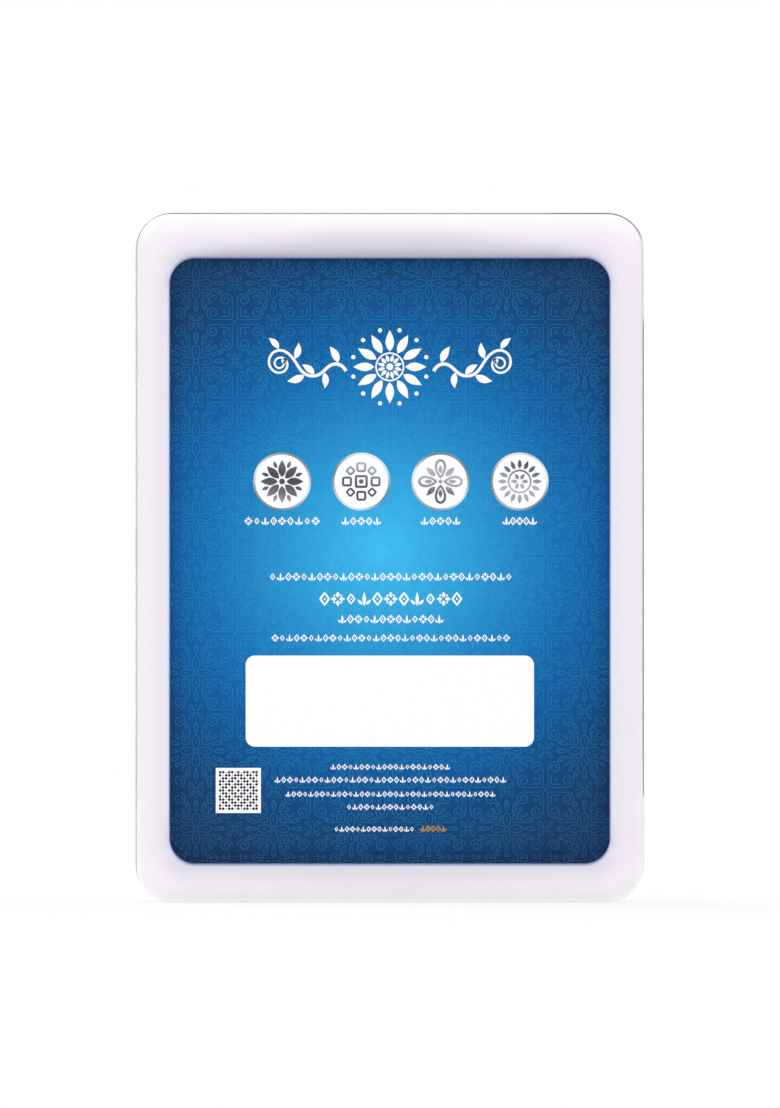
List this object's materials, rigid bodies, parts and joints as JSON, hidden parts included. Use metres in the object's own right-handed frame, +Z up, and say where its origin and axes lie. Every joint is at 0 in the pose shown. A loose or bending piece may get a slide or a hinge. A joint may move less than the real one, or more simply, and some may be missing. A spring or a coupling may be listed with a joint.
{
  "type": "kumkum box",
  "caption": "Lidded silver kumkum pot on a stepped tray in a clear hinged upright case with a blue printed card behind its sunken back window.",
  "frame": {"origin": "under the middle of the case, on the surface that it stands on", "axes": "+Z up; +Y towards the front cover, so the printed back faces -Y; +X to the right when the back is looked at"},
  "size_m": [0.111, 0.05, 0.15],
  "materials": {
    "clear_case": "gloss",
    "white_tray": "satin",
    "printed_card": "satin",
    "label_paper": "matte",
    "silver": "polished"
  },
  "bodies": {
    "case_back": {"back_shell": "clear_case", "display_tray": "white_tray", "display_step": "white_tray", "display_plinth": "white_tray", "certificate_card": "printed_card", "blank_label": "label_paper", "code_label": "label_paper"},
    "cover": {"front_cover": "clear_case"},
    "pot": {"foot_ring": "silver", "bowl": "silver", "bowl_collar": "silver"},
    "pot_lid": {"lid": "silver", "lid_bezel": "silver", "finial_calyx": "silver", "finial": "silver", "finial_washer": "silver"}
  },
  "joints": [
    {"name": "cover_hinge", "type": "hinge", "parent": "case_back", "child": "cover", "pos_m": [0.0555, 0.009, 0.075], "axis": [0, 0, -1], "range_deg": [0, 180]},
    {"name": "pot_lift", "type": "slide", "parent": "case_back", "child": "pot", "axis": [0, 0, 1], "range_m": [0, 0.015]},
    {"name": "lid_lift", "type": "slide", "parent": "pot", "child": "pot_lid", "axis": [0, 0, 1], "range_m": [0, 0.03]}
  ]
}
